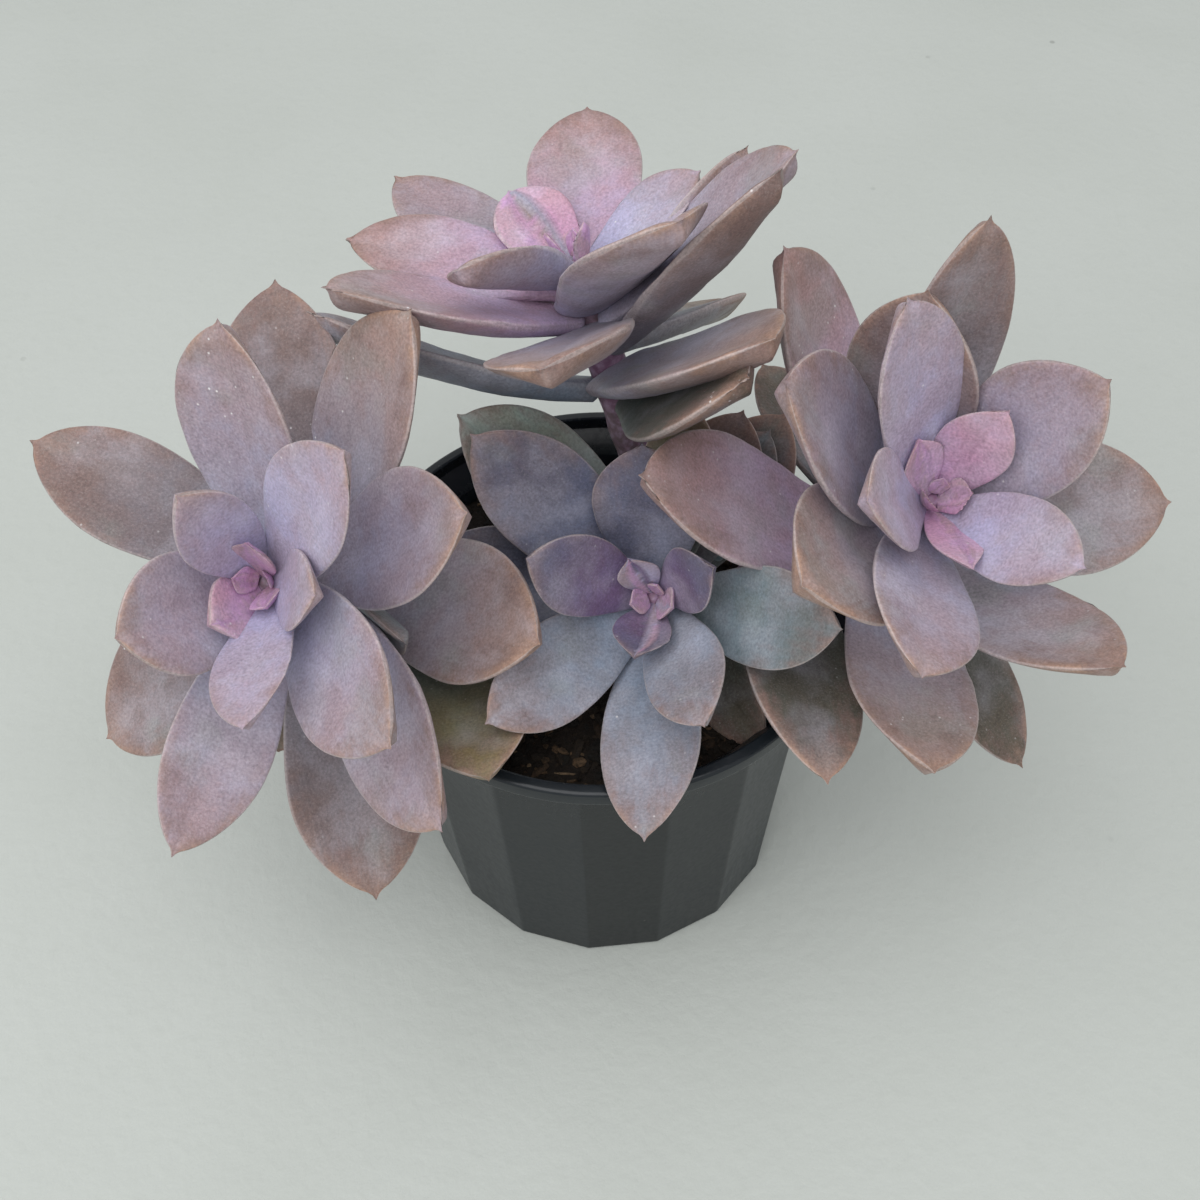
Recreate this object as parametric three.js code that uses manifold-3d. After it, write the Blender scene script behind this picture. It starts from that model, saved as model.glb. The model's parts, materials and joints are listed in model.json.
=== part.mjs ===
// Potted Graptopetalum superbum: four rosettes of thick, pointed, dusty mauve leaves on bare
// stems that rise from one sixteen sided plastic nursery pot. Millimetres, +Z up, with the
// origin at the middle of the pot's base and +X to the right as seen from the front.
import * as THREE from "three";
import { mergeVertices } from "three/addons/utils/BufferGeometryUtils.js";
import Module from "manifold-3d";

const wasm = await Module();
wasm.setup();

// Pot
const POT_SIDES = 16;
const POT_TURN = 16.2; // degrees that the first corner is turned from -Y
const POT_BASE_RADIUS = 39.4; // to the corners
const POT_WALL_TOP_RADIUS = 45.6; // to the corners
const POT_WALL_TOP = 74;
const POT_FLOOR = 1.6;
const RIM_RADIUS = 50;
const RIM_TOP = 80;
const RIM_BOTTOM = 76.2;
const RIM_MOUTH_RADIUS = 47.4;
const RIM_ROUND = 0.7;
const BAND_RADIUS = 48;
const BAND_BOTTOM = 73.4;
const CAVITY_BASE_RADIUS = 37.4;
const CAVITY_TOP_RADIUS = 43.4;
const RIM_SEGMENTS = 48;
const DRAIN_SLOTS = 8;
const DRAIN_WIDTH = 3.5;
const DRAIN_INNER = 13;
const DRAIN_OUTER = 31;

// Soil
const SOIL_EDGE = 70.2;
const SOIL_MIDDLE = 71.4;
const SOIL_GAP = 0.35;
const SOIL_SEGMENTS = 32;

// Leaves
const GOLDEN_ANGLE = 137.5; // degrees between one leaf and the next
const LEAF_SIDES = 8;
const LEAF_RINGS = [0, 0.04, 0.22, 0.45, 0.66, 0.84, 0.95, 1];
const LEAF_BASE = 0.34; // half width at the base, as a part of the widest
const LEAF_BROADEST = 0.6; // where along the leaf it is widest
const LEAF_SHOULDER = 1.25; // how late the narrow base swells
const LEAF_POINT = 0.7; // how blunt the tip is
const LEAF_CUP = 0.16; // how far the edges rise, as a part of the half width
const LEAF_CUP_START = 0.45; // where along the leaf the edges have risen fully
const LEAF_KEEL = 0.8; // how sharp the underside's keel is near the tip
const LEAF_KEEL_START = 0.35;
const LEAF_KEEL_END = 0.85;
const LEAF_THICKNESS = 1.6; // thickness of the narrowest leaf
const LEAF_THICKENING = 0.15; // thickness gained for each millimetre of width
const LEAF_THINNING = [[0.55, 0.85, 0.12], [0.85, 0.95, 0.2], [0.95, 1, 0.5]]; // from, to, loss
const LEAF_UPPER = 0.28; // share of the thickness above the edges
const LEAF_LOWER = 0.72;
const LEAF_ROUNDING = 0.8; // how round the upper face is towards the edges
const LEAF_SEAT = 0.6; // the base sits this part of the stem's radius off its middle
const LEAST_CURL = 0.1; // degrees, for a leaf that is straight
const CLEARANCE = 0.35; // gap left between a leaf and what it grows against

// Stems
const STEM_RADIUS = 3.8;
const STEM_TIP_RADIUS = 1.3;
const STEM_TAPER = 9; // length below the crown over which the stem thickens
const STEM_SIDES = 10;
const STEM_RINGS = 8;
const HEART_DEPTH = 6; // the heart's core reaches this far below the crown
const HEART_RADIUS = 2.3;

// One row for each leaf: its number on the spiral, the turn off the spiral, the depth of its
// base below the crown, its rise above the rosette's plane, length, width, curl and roll.
const BUD_LEAVES = [
  [-1, 0, 1, 72, 5.4, 3.6, 4, 0],
  [0, 0, 1, 69, 7.6, 5, 4, 0],
  [1, 0, 2, 66, 9.4, 6.6, 4, 0],
];

// Every rosette has its crown, its axis, the direction of leaf 0, the stem's path from the
// soil, the leaves of its heart, its large leaves, and the old leaves low on its stem.
const ROSETTES = {
  back: {
    crown: [-4, 31, 139],
    axis: [-0.26, 0.21, 0.94],
    start: 196,
    stem: [[13, 17, 66], [10, 19.6, 88], [5.7, 23.1, 104], [0.5, 27.3, 123]],
    heart: [[2, 9, 4, 28, 23, 16, 4, -1], [3, -13, 3, 33, 33, 17, -2, 24]],
    leaves: [
      [4, -11, 4, 19, 28, 16, 3, 11],
      [5, 5, 5, 22, 44, 20, 3, -12],
      [6, 1, 8, 34, 50, 26, -3, -6, 0.6],
      [7, 5, 8, 19, 48, 23, 2, 13],
      [8, -4, 12, 29, 54, 24, 11, -5],
      [9, -14, 12, 27, 54, 22.5, 10, 12, 0.5],
      [10, 2, 14, 19, 55, 22, 11, 9],
      [11, -4, 15, 21, 51, 27, 5, 3],
      [12, 5, 18, 5, 50, 20, 10, -21],
      [13, 6, 28, 22, 60, 23, 29, 21],
      [14, -14, 25, 18, 59, 27, 10, -2, 0.6],
      [17, 7, 17, 26, 43, 24, 12, -40, 0.5],
    ],
    old: [
      [20, -10, 20, -23, 48, 22, 0, -10],
      [22, -16, 18.5, 32, 61, 24, 12, -6],
      [27, -8, 32, 22, 57, 26, 6, 20],
    ],
  },
  right: {
    crown: [59.5, -15.5, 121],
    axis: [0.1, -0.5, 0.86],
    start: 215,
    stem: [[27, 5, 66], [33, 6.5, 76], [43, 7.5, 84], [50, 6.5, 86.8], [55.5, 3, 91], [57.6, -6, 105]],
    heart: [[2, -2, 2, 57, 16, 9, 3, -4], [3, 9, 4, 52, 24, 9, 3, -4]],
    leaves: [
      [4, 12, 5, 64, 27, 13, 3, -5],
      [5, 14, 4, 59, 35, 18, -2, -6],
      [6, -8, 5, 58, 40, 16, -2, 19],
      [7, 19, 5, 57, 47, 20, -3, 13],
      [8, -21, 11, 41, 48, 27, 9, -2, 0.5],
      [9, 21, 10, 57, 47, 23, 11, -5],
      [10, 9, 12, 47, 51, 27, 7, 15],
      [11, -36, 8, 44, 49, 21, 1, -12],
      [12, 22, 15, 38, 60, 20, 25, 15],
      [14, 24, 18, -7, 51, 26, 8, 2],
      [15, 3, 26, 16, 60, 27, 34, 35],
      [16, 14, 38, 20, 58, 26, 32, -12],
      [18, 7.3, 38, 31, 65.5, 27, 16, 15],
      [19, 7, 35, 20, 58, 23, 45, -20],
      [20, 17, 17, 46, 49, 25, 15, -45],
    ],
    old: [[23, -22, 34, -28, 47, 20, 8, 23], [24, 27, 33, -15, 52, 18, 11, -15]],
  },
  left: {
    crown: [-59.5, -26.5, 114.5],
    axis: [-0.12, -0.67, 0.73],
    start: 164,
    stem: [[-31, 4.5, 66], [-35, 5, 76], [-44, 4, 84], [-50, 3, 86.5], [-54.5, 0, 88], [-56.8, -11, 98]],
    heart: [[2, -2, 2, 65, 16, 8, 4, -9], [3, 11, 4, 61, 16, 12, 3, -23]],
    leaves: [
      [4, 0, 3, 59, 28, 14, 0, -4],
      [5, -21, 4, 65, 33, 14, -3, 30],
      [6, 12, 5, 57, 39, 15, 0, 5],
      [7, -4, 4, 51, 47, 20, -5, -12],
      [8, 18, 9, 57, 35.5, 21.5, 7, -3, 0.5],
      [9, -1, 6, 42, 50, 23, 1, 12],
      [10, -10, 7, 33, 51, 24, 3, -22],
      [11, 17, 14, 25, 53, 19, 10, -26],
      [12, 1, 20, 34, 52, 24, 14, -14],
      [13, 0, 16, 0, 53, 22, 5, 28],
      [14, 19, 22, 20, 59, 25, 18, 24],
      [15, -8, 24, 20, 60, 26, 16, -30],
      [16, 11, 17, -19, 54, 27, 4, 18],
      [17, 6, 38, 17, 58, 27, 33, -12],
      [18, -27, 19, -2, 53, 25, 8, 7],
    ],
    old: [
      [19, -7, 23, -37, 45, 20, 6, -4],
      [22, -29, 33, -6, 63, 28.5, 10, -26],
      [25, -28, 30, 38, 34, 14, 10, 60],
    ],
  },
  front: {
    crown: [9.7, -16.5, 96],
    axis: [-0.15, -0.63, 0.76],
    start: 197,
    stem: [[14, 5, 66], [13.2, -1.5, 78], [11.8, -8, 86]],
    heart: [[2, -2, 2, 63, 15, 8, 3, -3], [3, 10, 3, 61, 20, 11, 2, 1]],
    leaves: [
      [4, -6, 3, 60, 26, 12.5, 1, 2],
      [5, -4, 5, 53, 33, 15.5, 2, -3],
      [6, -3, 6, 51, 38, 16, 2, 1],
      [7, 11.4, 8, 32, 31.5, 21, 4, -6],
      [8, 0, 9, 38, 44, 18.5, 4, -12],
      [9, -6, 11, 38, 46, 19, 9, 7],
      [10, 5, 12, 24, 48, 21, 9, 2],
      [11, 1, 13, 38, 52, 19, 0, 6],
    ],
    old: [
      [12, 9.6, 20, -10, 42, 20, 6, -10],
      [13, -12, 16, 12, 47, 20, 8, 10],
      [15, -21, 19, 14, 37.5, 17, 6, -14],
      [18, -18, 19, 20, 54, 25, 14, 30],
      [19, 15, 20, 20, 35, 14, -9, 20],
      [20, -1, 21, 2, 38, 20, 6, -9],
      [25, 22, 22, 2, 37, 17, 6, -10],
    ],
  },
};

// The two leaves on the feet of the outer stems, which hang out over the pot's rim. Each has its
// seat in place of a crown, and a row about the vertical.
const FOOT_LEAVES = {
  right: {
    crown: [34, 6, 82.5], axis: [0, 0, 1], start: 275, row: [0, 0, 0, 10, 58, 22, -14, -12, 0.5],
  },
  left: {
    crown: [-33, 4, 76.5], axis: [0, 0, 1], start: 281.5, row: [0, 0, 0, 8, 58, 27, 8, 10, 0.5],
  },
};

const COLOURS = {
  pot: { color: "#25292d", roughness: 0.42, metalness: 0 },
  soil: { color: "#2a211b", roughness: 1, metalness: 0 },
  stem: { color: "#6f4f63", roughness: 0.6, metalness: 0 },
  heart: { color: "#c9a3b4", roughness: 0.6, metalness: 0 },
  young: { color: "#b7a3b6", roughness: 0.6, metalness: 0 },
  grown: { color: "#a3959f", roughness: 0.65, metalness: 0 },
};
const YOUNG_LEAVES = 8; // leaves with a lower number keep the paler colour

const radians = THREE.MathUtils.degToRad;

// A point part of the way between two ends, held inside them.
function share(value, low, high) {
  return THREE.MathUtils.clamp((value - low) / (high - low), 0, 1);
}

// The rosette's own directions: its axis, and two across it.
function rosetteFrame(rosette) {
  const axis = new THREE.Vector3(...rosette.axis).normalize();
  const right = new THREE.Vector3(1, 0, 0).addScaledVector(axis, -axis.x).normalize();
  const away = new THREE.Vector3().crossVectors(axis, right);
  return { axis, right, away, crown: new THREE.Vector3(...rosette.crown) };
}

function stemRadius(depth) {
  const part = Math.min(1, depth / STEM_TAPER) ** 0.7;
  return STEM_TIP_RADIUS + (STEM_RADIUS - STEM_TIP_RADIUS) * part;
}

// Half width along the leaf, as a part of its widest: narrow base, broad shoulder, pointed tip.
function leafOutline(along, base) {
  if (along <= LEAF_BROADEST) {
    const wave = Math.sin((Math.PI / 2) * (along / LEAF_BROADEST)) ** LEAF_SHOULDER;
    return base + (1 - base) * wave;
  }
  return (1 - share(along, LEAF_BROADEST, 1) ** 2) ** LEAF_POINT;
}

function leafThickness(along, width) {
  const full = LEAF_THICKENING * width + LEAF_THICKNESS;
  const lost = LEAF_THINNING.reduce((sum, [from, to, loss]) => sum + loss * share(along, from, to), 0);
  return full * (1 - lost);
}

// One leaf: a sphere whose rings are moved to stand along the leaf's curved middle line.
function leafGeometry(rosette, row, grow = 0) {
  const [number, shift, depth, rise, length, width, curl, roll, base = LEAF_BASE] = row;
  const { axis, right, away, crown } = rosetteFrame(rosette);
  const turn = radians(rosette.start + number * GOLDEN_ANGLE + shift);
  const out = right.clone().multiplyScalar(Math.cos(turn)).addScaledVector(away, Math.sin(turn));
  const across = new THREE.Vector3().crossVectors(axis, out);
  const lift = radians(rise);
  const ahead = out.clone().multiplyScalar(Math.cos(lift)).addScaledVector(axis, Math.sin(lift));
  const face = out.clone().multiplyScalar(-Math.sin(lift)).addScaledVector(axis, Math.cos(lift));
  const seat = crown.clone().addScaledVector(axis, -depth)
    .addScaledVector(out, LEAF_SEAT * stemRadius(depth));
  const bend = radians(curl === 0 ? LEAST_CURL : curl);
  const rings = LEAF_RINGS.length - 1;

  const geometry = new THREE.SphereGeometry(1, LEAF_SIDES, rings);
  const place = geometry.attributes.position;
  const point = new THREE.Vector3();
  for (let i = 0; i < place.count; i += 1) {
    point.fromBufferAttribute(place, i);
    const ring = Math.round((Math.acos(THREE.MathUtils.clamp(point.y, -1, 1)) / Math.PI) * rings);
    const along = LEAF_RINGS[ring];
    const atEnd = ring === 0 || ring === rings;
    const angle = Math.atan2(point.z, point.x);
    const c = atEnd ? 0 : Math.cos(angle);
    const s = atEnd ? 0 : Math.sin(angle);
    const half = (leafOutline(along, base) * width) / 2 + grow;
    const thick = leafThickness(along, width);
    const keel = LEAF_KEEL * share(along, LEAF_KEEL_START, LEAF_KEEL_END);
    const rim = LEAF_CUP * half * c * c * share(along, 0, LEAF_CUP_START);
    const belly = (1 - keel) * Math.abs(s) + keel * (1 - Math.abs(c));
    const above = (LEAF_UPPER * thick + grow) * Math.abs(s) ** LEAF_ROUNDING;
    const below = -(LEAF_LOWER * thick + grow) * belly;
    const side = half * c;
    const height = rim + (s >= 0 ? above : below);

    const reach = bend * along;
    const stretch = (length + 2 * grow) / bend;
    const middle = seat.clone()
      .addScaledVector(ahead, stretch * Math.sin(reach) - grow)
      .addScaledVector(face, stretch * (1 - Math.cos(reach)));
    const up = face.clone().multiplyScalar(Math.cos(reach)).addScaledVector(ahead, -Math.sin(reach));
    const twist = radians(roll);
    const sideways = across.clone().multiplyScalar(Math.cos(twist)).addScaledVector(up, Math.sin(twist));
    const normal = up.clone().multiplyScalar(Math.cos(twist)).addScaledVector(across, -Math.sin(twist));
    middle.addScaledVector(sideways, side).addScaledVector(normal, height);
    place.setXYZ(i, middle.x, middle.y, middle.z);
  }
  return geometry;
}

// A stem: a closed cylinder whose rings are moved to stand along a curve.
function stemGeometry(rosette, grow = 0) {
  const { axis, crown } = rosetteFrame(rosette);
  const top = crown.clone().addScaledVector(axis, -HEART_DEPTH - CLEARANCE + grow);
  const points = rosette.stem.map((p) => new THREE.Vector3(...p));
  const curve = new THREE.CatmullRomCurve3([...points, top]);
  const geometry = new THREE.CylinderGeometry(1, 1, 1, STEM_SIDES, STEM_RINGS);
  const place = geometry.attributes.position;
  const point = new THREE.Vector3();
  for (let i = 0; i < place.count; i += 1) {
    point.fromBufferAttribute(place, i);
    const along = THREE.MathUtils.clamp(point.y + 0.5, 0, 1);
    const middle = curve.getPointAt(along);
    const ahead = curve.getTangentAt(along);
    const x = new THREE.Vector3(1, 0, 0).addScaledVector(ahead, -ahead.x).normalize();
    const z = new THREE.Vector3().crossVectors(x, ahead);
    const radius = stemRadius(middle.distanceTo(crown)) + grow;
    middle.addScaledVector(x, radius * point.x).addScaledVector(z, radius * point.z);
    place.setXYZ(i, middle.x, middle.y, middle.z);
  }
  return geometry;
}

// The core that the smallest leaves grow from: a stretched sphere just below the crown.
function coreGeometry(rosette, grow = 0) {
  const { axis, crown } = rosetteFrame(rosette);
  const geometry = new THREE.SphereGeometry(1, STEM_SIDES, 6);
  geometry.scale(HEART_RADIUS + grow, HEART_DEPTH / 2 + grow, HEART_RADIUS + grow);
  const turn = new THREE.Quaternion().setFromUnitVectors(new THREE.Vector3(0, 1, 0), axis);
  geometry.applyQuaternion(turn);
  const middle = crown.clone().addScaledVector(axis, -HEART_DEPTH / 2);
  geometry.translate(middle.x, middle.y, middle.z);
  return geometry;
}

// A turned solid about the Z axis from (radius, height) points.
function turned(points, segments) {
  const profile = points.map(([radius, height]) => new THREE.Vector2(radius, height));
  return new THREE.LatheGeometry(profile, segments).rotateX(Math.PI / 2);
}

function solid(geometry) {
  const bare = geometry.clone();
  bare.deleteAttribute("normal");
  bare.deleteAttribute("uv");
  const merged = mergeVertices(bare, 1e-4);
  const corners = merged.index.array;
  const kept = [];
  for (let i = 0; i < corners.length; i += 3) {
    const [a, b, c] = [corners[i], corners[i + 1], corners[i + 2]];
    if (a !== b && b !== c && c !== a) {
      kept.push(a, b, c);
    }
  }
  return new wasm.Manifold(new wasm.Mesh({
    numProp: 3,
    vertProperties: new Float32Array(merged.attributes.position.array),
    triVerts: new Uint32Array(kept),
  }));
}

function join(solids) {
  return solids.reduce((sum, piece) => sum.add(piece));
}

function largest(body) {
  const pieces = body.decompose();
  return pieces.reduce((best, piece) => (piece.volume() > best.volume() ? piece : best));
}

function near(a, b) {
  const one = a.boundingBox();
  const two = b.boundingBox();
  return [0, 1, 2].every((k) => one.min[k] <= two.max[k] && two.min[k] <= one.max[k]);
}

// Cut a piece clear of every grown solid that it meets.
function clearOf(body, cutters) {
  let left = body;
  for (const cutter of cutters) {
    if (near(left, cutter)) {
      left = largest(left.subtract(cutter));
    }
  }
  return left;
}

const plant = new THREE.Group();

function addMesh(name, body, look) {
  const data = body.getMesh();
  const geometry = new THREE.BufferGeometry();
  geometry.setAttribute("position", new THREE.BufferAttribute(data.vertProperties, 3));
  geometry.setIndex(new THREE.BufferAttribute(data.triVerts, 1));
  geometry.computeVertexNormals();
  const mesh = new THREE.Mesh(geometry, new THREE.MeshStandardMaterial(COLOURS[look]));
  mesh.name = name;
  plant.add(mesh);
}

function potWall(grow = 0) {
  const corner = radians(POT_TURN);
  const wall = new THREE.CylinderGeometry(
    POT_WALL_TOP_RADIUS + grow, POT_BASE_RADIUS + grow, POT_WALL_TOP, POT_SIDES, 1, false, corner,
  );
  return wall.rotateX(Math.PI / 2).translate(0, 0, POT_WALL_TOP / 2);
}

function potCavity(gap = 0) {
  return turned([
    [0, POT_FLOOR + gap],
    [CAVITY_BASE_RADIUS - gap, POT_FLOOR + gap],
    [CAVITY_TOP_RADIUS - gap, POT_WALL_TOP],
    [RIM_MOUTH_RADIUS - gap, RIM_BOTTOM + 1],
    [RIM_MOUTH_RADIUS - gap, RIM_TOP + 1],
    [0, RIM_TOP + 1],
  ], SOIL_SEGMENTS);
}

function potRim(grow = 0) {
  const inside = CAVITY_TOP_RADIUS - 0.5;
  return turned([
    [inside, BAND_BOTTOM - grow],
    [BAND_RADIUS - 0.3 + grow, BAND_BOTTOM - grow],
    [BAND_RADIUS + grow, RIM_BOTTOM - grow],
    [RIM_RADIUS - RIM_ROUND + grow, RIM_BOTTOM - grow],
    [RIM_RADIUS + grow, RIM_BOTTOM + RIM_ROUND - grow],
    [RIM_RADIUS + grow, RIM_TOP - RIM_ROUND + grow],
    [RIM_RADIUS - RIM_ROUND + grow, RIM_TOP + grow],
    [inside, RIM_TOP + grow],
    [inside, BAND_BOTTOM - grow],
  ], RIM_SEGMENTS);
}

function drainSlots() {
  const slots = [];
  for (let i = 0; i < DRAIN_SLOTS; i += 1) {
    const slot = new THREE.BoxGeometry(DRAIN_OUTER - DRAIN_INNER, DRAIN_WIDTH, 4 * POT_FLOOR);
    slot.translate((DRAIN_OUTER + DRAIN_INNER) / 2, 0, 0);
    slot.rotateZ((i / DRAIN_SLOTS) * 2 * Math.PI);
    slots.push(solid(slot));
  }
  return join(slots);
}

function soilGeometry(grow = 0) {
  const slope = (CAVITY_TOP_RADIUS - CAVITY_BASE_RADIUS) / (POT_WALL_TOP - POT_FLOOR);
  const edge = CAVITY_BASE_RADIUS + slope * (SOIL_EDGE - POT_FLOOR);
  return turned([
    [0, POT_FLOOR + SOIL_GAP],
    [CAVITY_BASE_RADIUS - SOIL_GAP, POT_FLOOR + SOIL_GAP],
    [edge - SOIL_GAP, SOIL_EDGE + grow],
    [edge * 0.6, SOIL_MIDDLE - 0.3 + grow],
    [0, SOIL_MIDDLE + grow],
  ], SOIL_SEGMENTS);
}

const cavity = solid(potCavity());
const pot = join([solid(potWall()), solid(potRim())]).subtract(cavity).subtract(drainSlots());
addMesh("pot", pot, "pot");
addMesh("soil", solid(soilGeometry()), "soil");

// What a leaf or stem stays clear of: the pot with thicker walls, and the soil with a higher top.
const potKeepOut = join([solid(potWall(CLEARANCE)), solid(potRim(CLEARANCE))])
  .subtract(solid(potCavity(CLEARANCE)));
const soilKeepOut = solid(soilGeometry(CLEARANCE));

const taken = [potKeepOut, soilKeepOut];
const rosettes = Object.entries(ROSETTES);

// Hearts first, then the stems, then the leaves from the youngest outwards, so that each
// piece is cut clear of the ones that lie over its base.
for (const [name, rosette] of rosettes) {
  const parts = [solid(coreGeometry(rosette))];
  const grown = [solid(coreGeometry(rosette, CLEARANCE))];
  for (const row of [...BUD_LEAVES, ...rosette.heart]) {
    parts.push(solid(leafGeometry(rosette, row)));
    grown.push(solid(leafGeometry(rosette, row, CLEARANCE)));
  }
  addMesh(`${name}_heart`, largest(join(parts)), "heart");
  taken.push(join(grown));
}

const stemsTaken = rosettes.map(([, rosette]) => solid(stemGeometry(rosette, CLEARANCE)));
const leafRows = rosettes.flatMap(
  ([name, rosette]) => rosette.leaves.map((row) => ({ name, rosette, row })),
);
leafRows.sort((a, b) => a.row[0] - b.row[0]);
for (const { name, rosette, row } of leafRows) {
  const number = String(row[0]).padStart(2, "0");
  const body = clearOf(solid(leafGeometry(rosette, row)), [...taken, ...stemsTaken]);
  addMesh(`${name}_leaf_${number}`, body, row[0] < YOUNG_LEAVES ? "young" : "grown");
  taken.push(solid(leafGeometry(rosette, row, CLEARANCE)));
}

// Each stem is one piece with the old leaves that still sit low on it.
for (const [name, rosette] of rosettes) {
  const otherStems = stemsTaken.filter((_, i) => rosettes[i][0] !== name);
  const blocks = [...taken, ...otherStems];
  const parts = [clearOf(solid(stemGeometry(rosette)), blocks)];
  for (const row of rosette.old) {
    parts.push(clearOf(solid(leafGeometry(rosette, row)), blocks));
    taken.push(solid(leafGeometry(rosette, row, CLEARANCE)));
  }
  if (name in FOOT_LEAVES) {
    const foot = FOOT_LEAVES[name];
    parts.push(clearOf(solid(leafGeometry(foot, foot.row)), blocks));
    taken.push(solid(leafGeometry(foot, foot.row, CLEARANCE)));
  }
  addMesh(`${name}_stem`, largest(join(parts)), "stem");
}

export default plant;
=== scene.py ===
"""Potted Graptopetalum superbum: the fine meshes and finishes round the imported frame.

Four rosettes of thick, pointed leaves stand on bare stems in a faceted nursery pot. Lengths are
in millimetres in the frame's own axes, and every mesh is scaled to metres as it is finished.
"""

import json
import logging
import math
import random
from dataclasses import dataclass, field
from enum import Enum
from functools import reduce
from typing import Iterable, Sequence

import bmesh
import bpy
from mathutils import Matrix, Vector, noise

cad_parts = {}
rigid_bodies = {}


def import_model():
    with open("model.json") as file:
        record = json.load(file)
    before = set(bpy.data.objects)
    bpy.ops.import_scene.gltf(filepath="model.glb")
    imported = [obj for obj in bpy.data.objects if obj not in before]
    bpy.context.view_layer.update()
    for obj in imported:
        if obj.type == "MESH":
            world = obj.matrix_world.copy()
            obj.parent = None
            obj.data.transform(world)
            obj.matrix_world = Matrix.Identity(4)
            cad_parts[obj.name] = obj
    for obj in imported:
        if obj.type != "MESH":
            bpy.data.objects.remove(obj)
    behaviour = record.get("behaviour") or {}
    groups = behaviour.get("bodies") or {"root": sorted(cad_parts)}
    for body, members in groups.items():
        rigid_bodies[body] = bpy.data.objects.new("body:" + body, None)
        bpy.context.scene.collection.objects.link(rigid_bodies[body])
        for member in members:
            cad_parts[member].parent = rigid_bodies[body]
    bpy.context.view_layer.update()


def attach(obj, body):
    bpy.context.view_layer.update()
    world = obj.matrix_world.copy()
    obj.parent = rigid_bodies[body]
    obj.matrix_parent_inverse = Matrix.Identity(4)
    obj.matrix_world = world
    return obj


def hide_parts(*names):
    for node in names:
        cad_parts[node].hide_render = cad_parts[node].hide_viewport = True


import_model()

LOG = logging.getLogger("potted_plant")
MM = 0.001
BODY = "root"
WELD = 1e-4
NEAR = 1e-6
Pair = tuple[float, float]
Triple = tuple[float, float, float]
Colour = Triple
Socket = bpy.types.NodeSocket
Material = bpy.types.Material

# Pot
POT_SIDES = 16
POT_TURN = 16.2
POT_BASE_RADIUS = 39.4
POT_WALL_TOP_RADIUS = 45.6
POT_WALL_TOP = 74.0
POT_FLOOR = 1.6
RIM_RADIUS = 50.0
RIM_TOP = 80.0
RIM_BOTTOM = 76.2
RIM_MOUTH_RADIUS = 47.4
BAND_RADIUS = 48.0
BAND_BOTTOM = 73.4
CAVITY_BASE_RADIUS = 37.4
CAVITY_TOP_RADIUS = 43.4
DRAIN_SLOTS = 8
DRAIN_WIDTH = 3.5
DRAIN_INNER = 13.0
DRAIN_OUTER = 31.0
DRAIN_DEPTH = 6 * POT_FLOOR
DRAIN_ROUNDING = 1.2

# Soil
SOIL_EDGE = 70.2
SOIL_MIDDLE = 71.4
SOIL_GAP = 0.35

# Leaves and stems
GOLDEN_ANGLE = 137.5
LEAF_BASE = 0.34
LEAF_BROADEST = 0.6
LEAF_SHOULDER = 1.25
LEAF_POINT = 0.7
LEAF_CUP = 0.16
LEAF_CUP_START = 0.45
LEAF_KEEL = 0.8
LEAF_KEEL_START = 0.35
LEAF_KEEL_END = 0.85
LEAF_THICKNESS = 1.6
LEAF_THICKENING = 0.15
LEAF_THIN_END = 0.12
LEAF_PROW = 0.88
LEAF_BLADE_END = 0.978
LEAF_SPINE = 0.15
LEAF_SPINE_START = 0.94
LEAF_SPINE_THICKNESS = 0.22
LEAF_BUD_POINT = 0.5
LEAF_BUD_TAPER = 0.6
LEAF_BUD_WIDTHS = (9.0, 15.0)
LEAF_THICKEST = 0.3
LEAF_UPPER = 0.28
LEAF_LOWER = 0.72
LEAF_ROUNDING = 0.8
LEAF_SEAT = 0.6
LEAF_LEAST_CURL = 0.1
LEAF_POLE = 1e-5
YOUNG_LEAVES = 8
BUD_NUMBERS = 2
HEART_FACES = 28
STEM_RADIUS = 3.8
STEM_TIP_RADIUS = 1.3
STEM_TAPER = 9.0
STEM_SHOULDER = 0.7
STEM_TOP = 1.0
STEM_END = 2.5
STEM_BLUNT = 0.04
STEM_STEPS = 24
STEM_LUMP = 0.22
STEM_LUMP_SIZE = 5.0
STEM_PAINT = (0.3, 0.2, 0.25)
SCAR_HALF_WIDTH = 2.4
SCAR_HALF_HEIGHT = 1.7
SCAR_FADE = (0.5, 1.1)
SCAR_RIM = 1.15
SCAR_RIM_WIDTH = 0.35
SCAR_RAISED = 0.3
SCAR_SUNK = 0.15
HEART_DEPTH = 6.0


def share(value: float, low: float, high: float) -> float:
    """Say how far a value lies between two ends.

    Args:
        value: The number to place.
        low: The value that gives 0.
        high: The value that gives 1.

    Returns:
        A number from 0 to 1.
    """
    return min(1.0, max(0.0, (value - low) / (high - low)))


def smooth(value: float, low: float, high: float) -> float:
    """Ease between two ends, with no corner at either.

    Args:
        value: The number to place.
        low: The value that gives 0.
        high: The value that gives 1.

    Returns:
        A number from 0 to 1.
    """
    part = share(value, low, high)
    return part * part * (3.0 - 2.0 * part)


def blend_colour(a: Colour, b: Colour, part: float) -> Colour:
    """Mix two colours.

    Args:
        a: The colour at 0.
        b: The colour at 1.
        part: How much of the second colour.

    Returns:
        The mixed colour.
    """
    return tuple(x + (y - x) * part for x, y in zip(a, b))


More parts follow.
